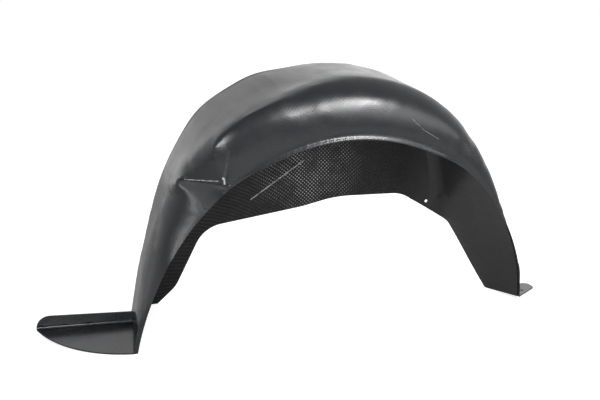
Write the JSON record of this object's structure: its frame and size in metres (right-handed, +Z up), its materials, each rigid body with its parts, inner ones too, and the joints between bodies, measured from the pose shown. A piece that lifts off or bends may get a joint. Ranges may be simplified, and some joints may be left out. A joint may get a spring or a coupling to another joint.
{
  "type": "wheel arch liner",
  "caption": "Vacuum-formed plastic liner for a car's rear wheel arch, with a stepped rim, a deep inner wall, a bumper-corner tray and a screw tab, which keeps spray off the body.",
  "frame": {"origin": "middle of the liner's footprint, on the plane that its feet stand on, which is the height of the axle line", "axes": "+X forwards along the car, from the tray to the screw tab; +Y inwards across the car, from the wheel opening to the inner wall; +Z up"},
  "size_m": [0.943, 0.203, 0.4474],
  "materials": {
    "black_sheet": "satin black formed sheet, grained on the wheel side"
  },
  "bodies": {
    "root": {"wheel_arch_liner": "black_sheet"}
  },
  "joints": []
}
